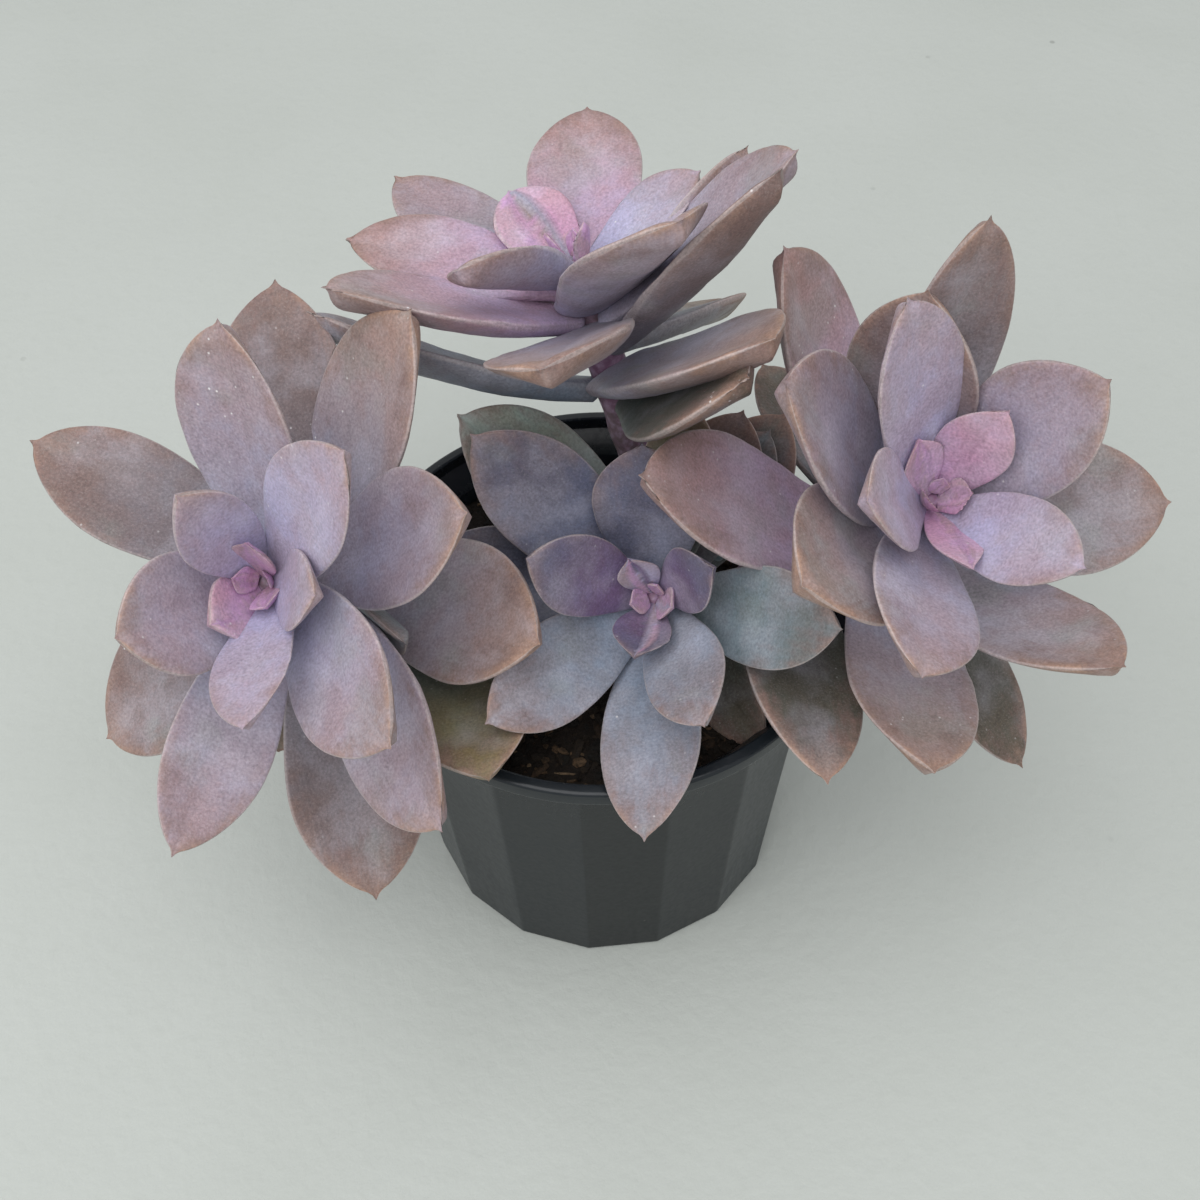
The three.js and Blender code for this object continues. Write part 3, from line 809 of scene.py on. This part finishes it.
@dataclass
class Rosette:
    """One plant: a stem, its heart of small leaves, its large leaves and its old low leaves."""

    name: str
    crown: Triple
    axis: Triple
    start: float
    path: tuple[Triple, ...]
    heart: tuple[Leaf, ...]
    leaves: tuple[Leaf, ...]
    old: tuple[Leaf, ...]
    tones: dict[Tone, tuple[int, ...]]
    scars: tuple[Pair, ...] = ()
    foot: Leaf | None = None
    foot_seat: Triple = (0.0, 0.0, 0.0)
    foot_tone: Tone = Tone.OLIVE
    stem_sides: int = 32
    stem_rings: int = 120

    def maker(self) -> LeafMaker:
        """Give the maker of this rosette's leaves."""
        return LeafMaker(Vector(self.crown), Vector(self.axis).normalized(), self.start)

    def tone(self, leaf: Leaf) -> Tone:
        """Give a leaf's skin: the one stated for it, or else the one of its age."""
        for tone, numbers in self.tones.items():
            if leaf.number in numbers:
                return tone
        return Tone.LILAC if leaf.number < YOUNG_LEAVES else Tone.MAUVE

    def build(self, skin: Material, bark: Material) -> None:
        """Make the whole plant.

        Args:
            skin: The leaves' material.
            bark: The stem's material.
        """
        maker = self.maker()
        stem_node = f"{self.name}_stem"
        for leaf in self.leaves:
            piece = Painted()
            maker.shape(piece, leaf, self.tone(leaf))
            node = f"{self.name}_leaf_{leaf.number:02d}"
            piece.finish(f"{node}_skin", skin, (node,))
        for leaf in self.old:
            piece = Painted()
            maker.shape(piece, leaf, self.tone(leaf))
            piece.finish(f"{self.name}_old_leaf_{leaf.number:02d}", skin, (stem_node,))
        if self.foot:
            piece = Painted()
            seated = LeafMaker(Vector(self.foot_seat), Vector((0, 0, 1)), 0.0)
            seated.shape(piece, self.foot, self.foot_tone)
            piece.finish(f"{self.name}_foot_leaf", skin, (stem_node,))
        heart = Painted()
        for leaf in (*BUD_LEAVES, *self.heart):
            tone = Tone.PINK if leaf.number < BUD_NUMBERS else self.tone(leaf)
            maker.shape(heart, leaf, tone, HEART_FACES, HEART_FACES)
        heart.finish(f"{self.name}_heart_leaves", skin, (f"{self.name}_heart",))
        self.stem(bark, stem_node)

    def route(self) -> list[Vector]:
        """Give the stem's middle line as points from its foot to the crown."""
        crown = Vector(self.crown)
        axis = Vector(self.axis).normalized()
        knots = [Vector(p) for p in self.path]
        knots.append(crown - axis * HEART_DEPTH)
        knots.append(crown - axis * STEM_TOP)
        line = [knots[0]]
        padded = [2 * knots[0] - knots[1], *knots, 2 * knots[-1] - knots[-2]]
        for a, b, c, d in zip(padded, padded[1:], padded[2:], padded[3:]):
            for i in range(1, STEM_STEPS + 1):
                t = i / STEM_STEPS
                line.append(0.5 * (
                    2 * b + (c - a) * t + (2 * a - 5 * b + 4 * c - d) * t * t
                    + (3 * b - 3 * c + d - a) * t ** 3
                ))
        return line

    def stem(self, bark: Material, node: str) -> None:
        """Make the stem as one closed skin round its middle line.

        Args:
            bark: Its material.
            node: The frame's node that it stands for.
        """
        line = self.route()
        lengths = [0.0]
        for a, b in zip(line, line[1:]):
            lengths.append(lengths[-1] + (b - a).length)
        whole = lengths[-1]
        piece = Painted()
        made = bmesh.ops.create_uvsphere(
            piece.work, u_segments=self.stem_sides, v_segments=self.stem_rings, radius=1.0
        )
        for vert in made["verts"]:
            along = 1.0 - math.acos(max(-1.0, min(1.0, vert.co.z))) / math.pi
            angle = math.atan2(vert.co.y, vert.co.x)
            want = along * whole
            k = max(1, next((i for i, reached in enumerate(lengths) if reached >= want - NEAR), 1))
            part = (want - lengths[k - 1]) / (lengths[k] - lengths[k - 1])
            middle = line[k - 1].lerp(line[k], part)
            ahead = (line[k] - line[k - 1]).normalized()
            x = (Vector((1, 0, 0)) - ahead * ahead.x).normalized()
            y = ahead.cross(x)
            outward = x * math.cos(angle) + y * math.sin(angle)
            closing = share(min(want, whole - want), 0.0, STEM_END) * (1.0 - STEM_BLUNT)
            radius = stem_radius(whole - want + STEM_TOP) * math.sqrt(closing + STEM_BLUNT)
            scar = 0.0
            rim = 0.0
            for depth, side in self.scars:
                off = math.remainder(angle - math.radians(side), 2 * math.pi)
                below = (whole - want - depth) / SCAR_HALF_HEIGHT
                reach = math.hypot(off * STEM_RADIUS / SCAR_HALF_WIDTH, below)
                scar = max(scar, 1.0 - smooth(reach, *SCAR_FADE))
                rim = max(rim, math.exp(-((reach - SCAR_RIM) / SCAR_RIM_WIDTH) ** 2))
            if along in (0.0, 1.0):
                radius = 0.0
            spot = middle + outward * radius
            lump = STEM_LUMP * noise.noise(spot / STEM_LUMP_SIZE) + SCAR_RAISED * rim - SCAR_SUNK * scar
            if radius > 0.5:
                spot += outward * lump
            vert.co = spot
            piece.paint(STEM_PAINT, scar=scar)
        piece.finish(f"{node}_skin", bark, (node,))


BACK = Rosette(
    name="back",
    crown=(-4, 31, 139),
    axis=(-0.26, 0.21, 0.94),
    start=196,
    path=((13, 17, 66), (10, 19.6, 88), (5.7, 23.1, 104), (0.5, 27.3, 123)),
    heart=(Leaf(2, 9, 4, 28, 23, 16, 4, -1), Leaf(3, -13, 3, 33, 33, 17, -2, 24)),
    leaves=(
        Leaf(4, -11, 4, 19, 28, 16, 3, 11),
        Leaf(5, 5, 6.2, 22, 44, 20, 3, -12),
        Leaf(6, 1, 8, 34, 50, 26, -3, -6, 0.6),
        Leaf(7, 5, 8, 19, 48, 23, 2, 13),
        Leaf(8, -4, 12, 29, 54, 24, 11, -5),
        Leaf(9, -14, 12, 27, 54, 22.5, 10, 12, 0.5),
        Leaf(10, 2, 14, 19, 55, 22, 11, 9),
        Leaf(11, -4, 15, 21, 51, 27, 5, 3),
        Leaf(12, 5, 18, 5, 50, 20, 10, -21),
        Leaf(13, 6, 28, 22, 60, 23, 29, 21),
        Leaf(14, -14, 25, 18, 59, 27, 10, -2, 0.6),
        Leaf(17, 7, 17, 26, 43, 24, 12, -40, 0.5),
    ),
    old=(
        Leaf(20, -10, 20, -23, 48, 22, 0, -10),
        Leaf(22, -16, 18.5, 32, 61, 24, 12, -6),
        Leaf(27, -8, 32, 22, 57, 26, 6, 20, 0.22),
    ),
    tones={
        Tone.PINK: (2,),
        Tone.ROSE: (5, 7, 8),
        Tone.MAUVE: (3, 6, 9, 10, 12, 17),
        Tone.AMBER: (11, 14),
        Tone.SILVER: (13,),
        Tone.DUSK: (22,),
        Tone.DRIED: (20,),
        Tone.OLIVE: (27,),
    },
    scars=((44, -100), (56, -60), (38, 60), (50, 150)),
)
RIGHT = Rosette(
    name="right",
    crown=(59.5, -15.5, 121),
    axis=(0.1, -0.5, 0.86),
    start=215,
    path=((27, 5, 66), (33, 6.5, 76), (43, 7.5, 84), (50, 6.5, 86.8), (55.5, 3, 91), (57.6, -6, 105)),
    heart=(Leaf(2, -2, 2, 57, 16, 9, 3, -4), Leaf(3, 9, 4, 52, 24, 9, 3, -4)),
    leaves=(
        Leaf(4, 12, 5, 64, 27, 13, 3, -5),
        Leaf(5, 14, 4, 59, 35, 18, -2, -6),
        Leaf(6, -8, 5, 58, 40, 16, -2, 19),
        Leaf(7, 19, 5, 57, 47, 20, -3, 13),
        Leaf(8, -21, 11, 41, 48, 27, 9, -2, 0.5),
        Leaf(9, 21, 10, 57, 47, 23, 11, -5),
        Leaf(10, 9, 12, 47, 51, 27, 7, 15),
        Leaf(11, -36, 8, 44, 49, 21, 1, -12),
        Leaf(12, 22, 15, 38, 60, 20, 25, 15),
        Leaf(14, 24, 18, -7, 51, 26, 8, 2),
        Leaf(15, 3, 26, 16, 60, 27, 34, 35),
        Leaf(16, 14, 38, 20, 58, 26, 32, -12),
        Leaf(18, 7.3, 38, 31, 65.5, 27, 16, 15),
        Leaf(19, 7, 35, 20, 58, 23, 45, -20),
        Leaf(20, 17, 17, 46, 49, 25, 15, -45),
    ),
    old=(Leaf(23, -22, 34, -28, 47, 20, 8, 23), Leaf(24, 27, 33, -15, 52, 18, 11, -15)),
    tones={
        Tone.PINK: (2, 3, 4),
        Tone.DUSK: (12, 14, 20),
        Tone.AMBER: (16, 8, 19),
        Tone.ROSE: (18, 15),
        Tone.OLIVE: (23, 24),
    },
    scars=((40, -60), (48, 20), (34, 160)),
    foot=Leaf(0, 275, 0, 10, 58, 22, -14, -12, 0.5),
    foot_seat=(34, 6, 82.5),
)
LEFT = Rosette(
    name="left",
    crown=(-59.5, -26.5, 114.5),
    axis=(-0.12, -0.67, 0.73),
    start=164,
    path=(
        (-31, 4.5, 66), (-35, 5, 76), (-44, 4, 84), (-50, 3, 86.5), (-54.5, 0, 88), (-56.8, -11, 98),
    ),
    heart=(Leaf(2, -2, 2, 65, 16, 8, 4, -9), Leaf(3, 11, 4, 61, 16, 12, 3, -23)),
    leaves=(
        Leaf(4, 0, 3, 59, 28, 14, 0, -4),
        Leaf(5, -21, 4, 65, 33, 14, -3, 30),
        Leaf(6, 12, 5, 57, 39, 15, 0, 5),
        Leaf(7, -4, 4, 51, 47, 20, -5, -12),
        Leaf(8, 18, 9, 57, 35.5, 21.5, 7, -3, 0.5),
        Leaf(9, -1, 6, 42, 50, 23, 1, 12),
        Leaf(10, -10, 7, 33, 51, 24, 3, -22),
        Leaf(11, 17, 14, 25, 53, 19, 10, -26),
        Leaf(12, 1, 20, 34, 52, 24, 14, -14),
        Leaf(13, 0, 16, 0, 53, 22, 5, 28),
        Leaf(14, 19, 22, 20, 59, 25, 18, 24),
        Leaf(15, -8, 24, 20, 60, 26, 16, -30),
        Leaf(16, 11, 17, -19, 54, 27, 4, 18),
        Leaf(17, 6, 38, 17, 58, 27, 33, -12),
        Leaf(18, -27, 19, -2, 53, 25, 8, 7),
    ),
    old=(
        Leaf(19, -7, 23, -37, 45, 20, 6, -4),
        Leaf(22, -29, 33, -6, 63, 28.5, 10, -26),
        Leaf(25, -28, 30, 38, 34, 14, 10, 60),
    ),
    tones={
        Tone.PINK: (2, 3),
        Tone.DUSK: (13, 16, 18, 22),
        Tone.AMBER: (15, 17),
        Tone.OLIVE: (19,),
        Tone.SAGE: (25,),
    },
    scars=((40, -60), (48, 20), (34, 160)),
    foot=Leaf(0, 281.5, 0, 8, 58, 27, 8, 10, 0.5),
    foot_seat=(-33, 4, 76.5),
    foot_tone=Tone.MOSS,
)
FRONT = Rosette(
    name="front",
    crown=(9.7, -16.5, 96),
    axis=(-0.15, -0.63, 0.76),
    start=197,
    path=((14, 5, 66), (13.2, -1.5, 78), (11.8, -8, 86)),
    heart=(Leaf(2, -2, 2, 63, 15, 8, 3, -3), Leaf(3, 10, 3, 61, 20, 11, 2, 1)),
    leaves=(
        Leaf(4, -6, 3, 60, 26, 12.5, 1, 2),
        Leaf(5, -4, 5, 53, 33, 15.5, 2, -3),
        Leaf(6, -3, 6, 51, 38, 16, 2, 1),
        Leaf(7, 11.4, 8, 32, 31.5, 21, 4, -6),
        Leaf(8, 0, 9, 38, 44, 18.5, 4, -12),
        Leaf(9, -6, 11, 38, 46, 19, 9, 7),
        Leaf(10, 5, 12, 24, 48, 21, 9, 2),
        Leaf(11, 1, 13, 38, 52, 19, 0, 6),
    ),
    old=(
        Leaf(12, 9.6, 20, -10, 42, 20, 6, -10),
        Leaf(13, -12, 16, 12, 47, 20, 8, 10),
        Leaf(15, -21, 19, 14, 37.5, 17, 6, -14),
        Leaf(18, -18, 19, 20, 54, 25, 14, 30),
        Leaf(19, 15, 20, 20, 35, 14, -9, 20),
        Leaf(20, -1, 21, 2, 38, 20, 6, -9),
        Leaf(25, 22, 22, 2, 37, 17, 6, -10),
    ),
    tones={
        Tone.SLATE: (7, 10, 13),
        Tone.VIOLET: (3, 4, 5),
        Tone.SILVER: (6, 8, 11),
        Tone.SAGE: (9, 25),
        Tone.PALE: (18,),
        Tone.DUSK: (20,),
        Tone.MOSS: (15,),
        Tone.OLIVE: (12, 19),
    },
    scars=((14, -60), (18, 60)),
)
ROSETTES = (BACK, RIGHT, LEFT, FRONT)


@dataclass
class Pot:
    """The nursery pot: a thin faceted wall under a round lip, with slots in its floor."""

    steps: int = 192
    lip: float = 0.9
    wall_satin: float = 0.30
    rim_satin: float = 0.20
    # The next four numbers set the painted reflection on the wall's facets: darker at the front, paler at
    # the sides.
    facet_contrast: float = 0.45
    front_shade_spread: float = 2.2
    shade_step: float = 2.4
    shade_change: float = 0.2
    corner_pull: float = 0.35
    wall_bow: float = 0.12
    wall_reach: Pair = (0.95, 0.2)
    rim_share: Pair = (0.90, 0.93)
    sharp_angle: float = 18.0

    def profile(self) -> list[Pair]:
        """Give the section from the middle of the base, round the rim, to the floor's middle."""
        lip = self.lip
        points = [
            (0.0, 0.0), (12.0, 0.0), (32.0, 0.0),
            (POT_BASE_RADIUS - 0.8, 0.0), (POT_BASE_RADIUS, 0.8),
            (POT_BASE_RADIUS + 2.0, 24.0), (POT_BASE_RADIUS + 4.1, 49.0),
            (POT_WALL_TOP_RADIUS, BAND_BOTTOM), (BAND_RADIUS - 0.5, BAND_BOTTOM),
            (BAND_RADIUS, BAND_BOTTOM + 0.5), (BAND_RADIUS, RIM_BOTTOM - 0.5),
            (BAND_RADIUS + 0.3, RIM_BOTTOM), (RIM_RADIUS - lip, RIM_BOTTOM),
        ]
        for middle, first in ((RIM_BOTTOM + lip, -90), (RIM_TOP - lip, 0)):
            for degrees in (15, 30, 45, 60, 75, 90):
                turn = math.radians(first + degrees)
                points.append((RIM_RADIUS - lip + lip * math.cos(turn), middle + lip * math.sin(turn)))
        points += [
            (RIM_MOUTH_RADIUS + 0.5, RIM_TOP), (RIM_MOUTH_RADIUS + 0.1, RIM_TOP - 0.2),
            (RIM_MOUTH_RADIUS, RIM_TOP - 0.6), (RIM_MOUTH_RADIUS, RIM_BOTTOM + 1.0),
            (CAVITY_TOP_RADIUS + 1.2, POT_WALL_TOP + 0.6), (CAVITY_TOP_RADIUS, POT_WALL_TOP - 1.0),
            (CAVITY_BASE_RADIUS, POT_FLOOR), (32.0, POT_FLOOR), (12.0, POT_FLOOR), (0.0, POT_FLOOR),
        ]
        return points

    def facet(self, angle: float) -> Pair:
        """Move a round wall's point onto the nearest flat facet.

        Args:
            angle: The point's direction, in degrees.

        Returns:
            Its new direction in degrees, and its radius as a part of the corners' radius.
        """
        width = 360.0 / POT_SIDES
        first = POT_TURN - 90.0
        number = math.floor((angle - first) / width + NEAR)
        inside = (angle - first) / width - number
        even = 2.0 * inside - 1.0
        pulled = math.copysign(abs(even) ** self.corner_pull, even) if abs(even) > NEAR else 0.0
        off = math.radians(0.5 * width * pulled)
        flat = math.cos(math.radians(0.5 * width)) / math.cos(off)
        return first + (number + 0.5) * width + math.degrees(off), flat

    def facet_shade(self, spot: Vector) -> float:
        """Say how much paler a facet is painted, from -1 on the front one to 1: painted reflection,
        darkest on the facets that face the camera.
        """
        width = 360.0 / POT_SIDES
        degrees = math.degrees(math.atan2(spot.y, spot.x)) - POT_TURN + 90.0
        number = math.floor(degrees / width + NEAR)
        from_front = (number + 1 + POT_SIDES // 2) % POT_SIDES - POT_SIDES // 2
        # Painted reflection: the facets that face the camera are painted darkest.
        front_shade = math.exp(-((from_front / self.front_shade_spread) ** 2))
        return 1.0 - 2.0 * front_shade + self.shade_change * math.sin(self.shade_step * number)

    def slots(self) -> bpy.types.Object:
        """Make the cutter for the slots in the floor."""
        work = bmesh.new()
        size = (DRAIN_OUTER - DRAIN_INNER, DRAIN_WIDTH, DRAIN_DEPTH)
        for i in range(DRAIN_SLOTS):
            turn = Matrix.Rotation(2 * math.pi * i / DRAIN_SLOTS, 4, "Z")
            move = Matrix.Translation(((DRAIN_OUTER + DRAIN_INNER) / 2, 0, 0))
            place = turn @ move @ Matrix.Diagonal((*size, 1.0))
            made = bmesh.ops.create_cube(work, size=1.0, matrix=place)
            upright = [
                edge for edge in {e for v in made["verts"] for e in v.link_edges}
                if abs(edge.verts[0].co.z - edge.verts[1].co.z) > POT_FLOOR
            ]
            bmesh.ops.bevel(
                work, geom=upright, offset=DRAIN_ROUNDING, affect="EDGES", segments=4, profile=0.5,
                material=-1,
            )
        return make_object("slot_cutter", work)

    def build(self, plastic: Material) -> None:
        """Make the pot.

        Args:
            plastic: Its material.
        """
        work = bmesh.new()
        turn_section(work, self.profile(), self.steps)
        inside, outside = self.wall_reach
        for vert in work.verts:
            radius = math.hypot(vert.co.x, vert.co.y)
            line = POT_BASE_RADIUS + (POT_WALL_TOP_RADIUS - POT_BASE_RADIUS) * vert.co.z / POT_WALL_TOP
            if vert.co.z < BAND_BOTTOM + 0.05 and line - inside < radius < line + outside:
                angle, part = self.facet(math.degrees(math.atan2(vert.co.y, vert.co.x)))
                turn = math.radians(angle)
                out = radius * part - self.wall_bow * math.sin(math.pi * vert.co.z / POT_WALL_TOP)
                vert.co.x = out * math.cos(turn)
                vert.co.y = out * math.sin(turn)
        shell = make_object("pot_shell", work)
        cutter = self.slots()
        cut = shell.modifiers.new("slots", "BOOLEAN")
        cut.object = cutter
        cut.operation = "DIFFERENCE"
        cut.solver = "EXACT"
        graph = bpy.context.evaluated_depsgraph_get()
        finished = bpy.data.meshes.new_from_object(shell.evaluated_get(graph))
        bpy.data.objects.remove(shell)
        bpy.data.objects.remove(cutter)
        pot = bpy.data.objects.new("nursery_pot", finished)
        bpy.context.scene.collection.objects.link(pot)
        heights = [v.co.z / (RIM_TOP * MM) for v in finished.vertices]
        rims = [smooth(h, *self.rim_share) for h in heights]
        satin = [self.wall_satin + (self.rim_satin - self.wall_satin) * r for r in rims]
        # Painted reflection: wall facets darker at the front and paler at the sides.
        shades = [
            1.0 + self.facet_contrast * self.facet_shade(p.center) * (p.center.z < BAND_BOTTOM * MM)
            for p in finished.polygons
        ]
        marks = (("shade", "FACE", shades), ("height", "POINT", heights), ("satin", "POINT", satin))
        for name, domain, values in marks:
            finished.attributes.new(name, "FLOAT", domain).data.foreach_set("value", values)
        finished.materials.clear()
        finished.materials.append(plastic)
        finished.shade_smooth()
        finished.set_sharp_from_angle(angle=math.radians(self.sharp_angle))
        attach(pot, BODY)
        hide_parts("pot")
        LOG.info("nursery_pot: %d faces", len(finished.polygons))


@dataclass
class Soil:
    """The potting mix: a lumpy bed with crumbs, bark chips and fibres lying on it."""

    crumbs: int = 2600
    reach: float = 42.6
    lump: float = 0.9
    sink: float = 0.4
    sides: int = 120
    rings: int = 30
    spread: float = 0.985
    least_crumb: float = 0.35
    crumb_range: float = 1.3
    rarity: float = 2.6
    fibre_share: float = 0.12
    fibre_length: Pair = (2.0, 4.5)
    fibre_section: Pair = (0.28, 0.25)
    tip: float = 0.45
    jag: float = 0.22
    browns: tuple[Colour, ...] = (
        (0.016, 0.011, 0.008), (0.026, 0.018, 0.012), (0.050, 0.031, 0.019),
        (0.012, 0.010, 0.008), (0.105, 0.066, 0.038), (0.190, 0.130, 0.080),
    )
    shares: tuple[float, ...] = (0.27, 0.22, 0.18, 0.19, 0.09, 0.05)

    def top(self, x: float, y: float) -> float:
        """Give the bed's height at a place.

        Args:
            x: Across.
            y: Away from the viewer.

        Returns:
            The height, in millimetres.
        """
        edge = share(math.hypot(x, y), 0.0, self.reach)
        flat = SOIL_MIDDLE - (SOIL_MIDDLE - SOIL_EDGE) * edge
        rough = noise.noise(Vector((x, y, 0.0)) / 9.0) + 0.4 * noise.noise(Vector((x, y, 5.0)) / 3.0)
        return flat - self.sink + 0.6 * self.lump * rough * (1.0 - edge ** 6)

    def build(self, mix: Material) -> None:
        """Make the bed and what lies on it.

        Args:
            mix: Their material.
        """
        slope = (CAVITY_TOP_RADIUS - CAVITY_BASE_RADIUS) / (POT_WALL_TOP - POT_FLOOR)
        edge = CAVITY_BASE_RADIUS + slope * (SOIL_EDGE - POT_FLOOR) - SOIL_GAP
        floor = POT_FLOOR + SOIL_GAP
        section = [(0.0, floor), (CAVITY_BASE_RADIUS - SOIL_GAP, floor), (edge, SOIL_EDGE)]
        section += [(edge * (1 - i / self.rings), SOIL_MIDDLE) for i in range(1, self.rings + 1)]
        bed = Painted()
        turn_section(bed.work, section, self.sides)
        for vert in bed.work.verts:
            if vert.co.z > SOIL_EDGE - 1.0:
                vert.co.z = self.top(vert.co.x, vert.co.y)
            bed.paint(self.browns[0])
        bed.finish("soil_bed", mix, ("soil",))
        self.scatter(mix)

    def scatter(self, mix: Material) -> None:
        """Strew crumbs, chips and fibres over the bed as one piece.

        Args:
            mix: Their material.
        """
        chance = random.Random(7)
        piece = Painted()
        for _ in range(self.crumbs):
            distance = self.reach * math.sqrt(chance.random()) * self.spread
            angle = chance.uniform(0, 2 * math.pi)
            x = distance * math.cos(angle)
            y = distance * math.sin(angle)
            size = self.least_crumb + self.crumb_range * chance.random() ** self.rarity
            shape = Vector((size * chance.uniform(0.9, 2.3), size * chance.uniform(0.6, 1.1), size * 0.45))
            if chance.random() < self.fibre_share:
                shape = Vector((chance.uniform(*self.fibre_length), *self.fibre_section))
            reach_left = self.reach + 0.2 - distance
            shape.x = min(shape.x, max(0.4, reach_left))
            spin = Matrix.Rotation(chance.uniform(0, 2 * math.pi), 4, "Z")
            tip = Matrix.Rotation(chance.uniform(-self.tip, self.tip), 4, "Y")
            place = Matrix.Translation((x, y, self.top(x, y) + 0.25 * shape.z))
            place = place @ spin @ tip @ Matrix.Diagonal((*shape, 1.0))
            made = bmesh.ops.create_icosphere(piece.work, subdivisions=1, radius=1.0, matrix=place)
            colour = chance.choices(self.browns, self.shares)[0]
            for vert in made["verts"]:
                vert.co += Vector([chance.uniform(-self.jag, self.jag) * min(1.0, size) for _ in range(3)])
                piece.paint(colour)
        piece.finish("soil_crumbs", mix, ("soil",))


@dataclass
class Studio:
    """The floor, the light and the camera."""

    camera_spot: Triple = (-0.11, -218.8, 343.2)
    camera_right: Triple = (0.99977, -0.01663, -0.01358)
    camera_up: Triple = (0.02147, 0.77432, 0.63242)
    lens: float = 51.0
    sensor: float = 36.0
    near: float = 0.01
    floor_size: float = 6.0
    sky: Colour = (0.97, 0.985, 1.0)
    sky_strength: float = 0.66
    lamp_power: float = 15.0
    lamp_size: float = 1.5
    lamp_spot: Triple = (-0.30, -0.55, 1.25)
    lamp_aim: Triple = (0.0, 0.0, 0.08)

    def floor(self) -> None:
        """Lay the floor under the pot."""
        work = bmesh.new()
        bmesh.ops.create_grid(work, x_segments=2, y_segments=2, size=self.floor_size / 2)
        mesh = bpy.data.meshes.new("floor")
        work.to_mesh(mesh)
        work.free()
        mesh.materials.append(PaintedFloor().material())
        floor = bpy.data.objects.new("floor", mesh)
        bpy.context.scene.collection.objects.link(floor)

    def light(self) -> None:
        """Hang one large soft lamp under a pale sky."""
        scene = bpy.context.scene
        world = bpy.data.worlds.new("sky")
        world.use_nodes = True
        background = world.node_tree.nodes["Background"]
        background.inputs["Color"].default_value = (*self.sky, 1.0)
        background.inputs["Strength"].default_value = self.sky_strength
        scene.world = world
        data = bpy.data.lights.new("soft_lamp", "AREA")
        data.energy = self.lamp_power
        data.size = self.lamp_size
        lamp = bpy.data.objects.new("soft_lamp", data)
        lamp.location = self.lamp_spot
        aim = Vector(self.lamp_aim) - Vector(self.lamp_spot)
        lamp.rotation_euler = aim.to_track_quat("-Z", "Y").to_euler()
        scene.collection.objects.link(lamp)
        scene.view_settings.view_transform = "Standard"
        scene.view_settings.look = "None"

    def camera(self) -> None:
        """Set the camera where the photograph was taken from."""
        data = bpy.data.cameras.new("camera")
        data.lens = self.lens
        data.sensor_width = self.sensor
        data.clip_start = self.near
        camera = bpy.data.objects.new("camera", data)
        right = Vector(self.camera_right).normalized()
        up = Vector(self.camera_up).normalized()
        back = right.cross(up)
        turn = Matrix((right, up, back)).transposed().to_4x4()
        camera.matrix_world = Matrix.Translation(Vector(self.camera_spot) * MM) @ turn
        bpy.context.scene.collection.objects.link(camera)
        bpy.context.scene.camera = camera

    def build(self) -> None:
        """Set up the whole studio."""
        self.floor()
        self.light()
        self.camera()


def smooth_shading(pieces: Iterable[bpy.types.Object]) -> None:
    """Shade every given piece smoothly."""
    for piece in pieces:
        piece.data.shade_smooth()


def main() -> None:
    """Build the studio, the pot, the soil and the four plants."""
    logging.basicConfig(level=logging.INFO, format="%(message)s")
    Studio().build()
    Pot().build(PotPlastic().material())
    Soil().build(PottingMix().material())
    skin = LeafSkin().material()
    bark = StemSkin().material()
    for rosette in ROSETTES:
        rosette.build(skin, bark)
    endings = ("_skin", "_leaves", "_bed")
    smooth_shading(o for o in bpy.data.objects if o.name.endswith(endings) or "leaf" in o.name)


if __name__ == "__main__":
    main()
